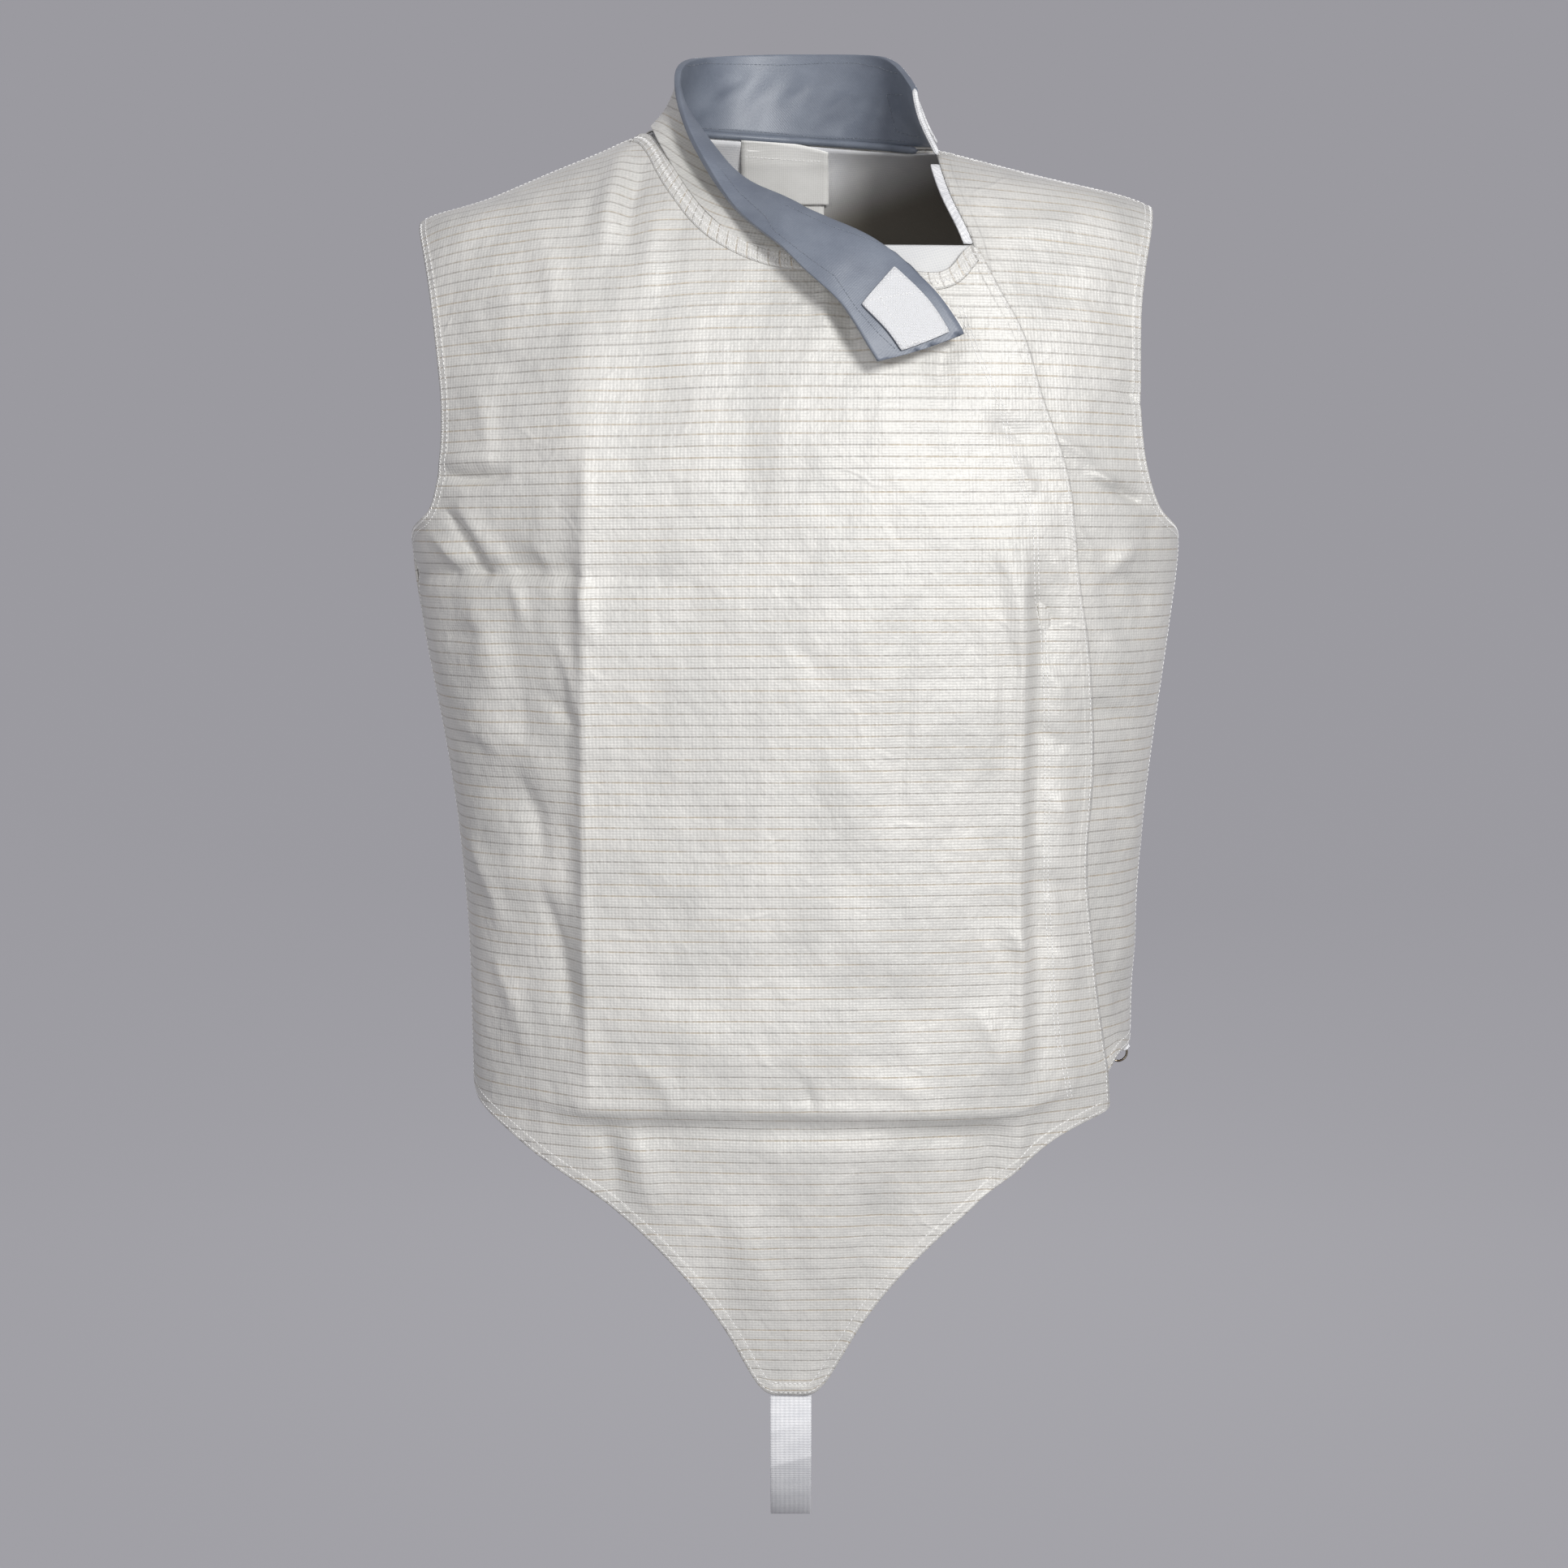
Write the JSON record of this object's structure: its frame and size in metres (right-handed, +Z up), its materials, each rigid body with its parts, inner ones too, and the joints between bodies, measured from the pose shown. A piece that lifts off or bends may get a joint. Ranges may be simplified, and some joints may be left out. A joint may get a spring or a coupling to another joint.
{
  "type": "foil lame",
  "caption": "Sleeveless electric fencing vest that closes on the wearer's left, hollow as if worn, with an open stand collar, a crotch strap and a small steel ring at the hem.",
  "frame": {"origin": "base of the neck on the middle line, half way between chest and back, where the wearer's shoulders carry the vest", "axes": "+Z up, -Y out of the chest, +X to the wearer's left, the viewer's right"},
  "size_m": [0.4734, 0.2437, 0.9145],
  "materials": {
    "silver_lame": "woven with metal thread, silvery satin",
    "grey_satin": "smooth satin weave",
    "white_cloth": "plain white lining, matt",
    "white_tape": "white webbing and hook tape, matt",
    "steel": "bright wire"
  },
  "bodies": {
    "garment": {"front_panel": "silver_lame", "left_front_panel": "silver_lame", "back_panel": "silver_lame", "back_lining": "white_cloth", "fly_facing": "white_cloth", "neck_binding": "white_tape", "neck_label": "white_cloth", "size_label": "white_cloth", "collar_outer": "silver_lame", "collar_lining": "grey_satin", "hook_patch": "white_tape", "loop_patch": "white_tape", "crotch_strap": "white_tape", "ring_loop": "white_tape"},
    "ring": {"ring": "steel"}
  },
  "joints": [
    {"name": "ring_swing", "type": "hinge", "parent": "garment", "child": "ring", "pos_m": [0.20595, -0.009, -0.55532], "axis": [0.6691, 0, -0.7431], "range_deg": [-60, 60]}
  ]
}
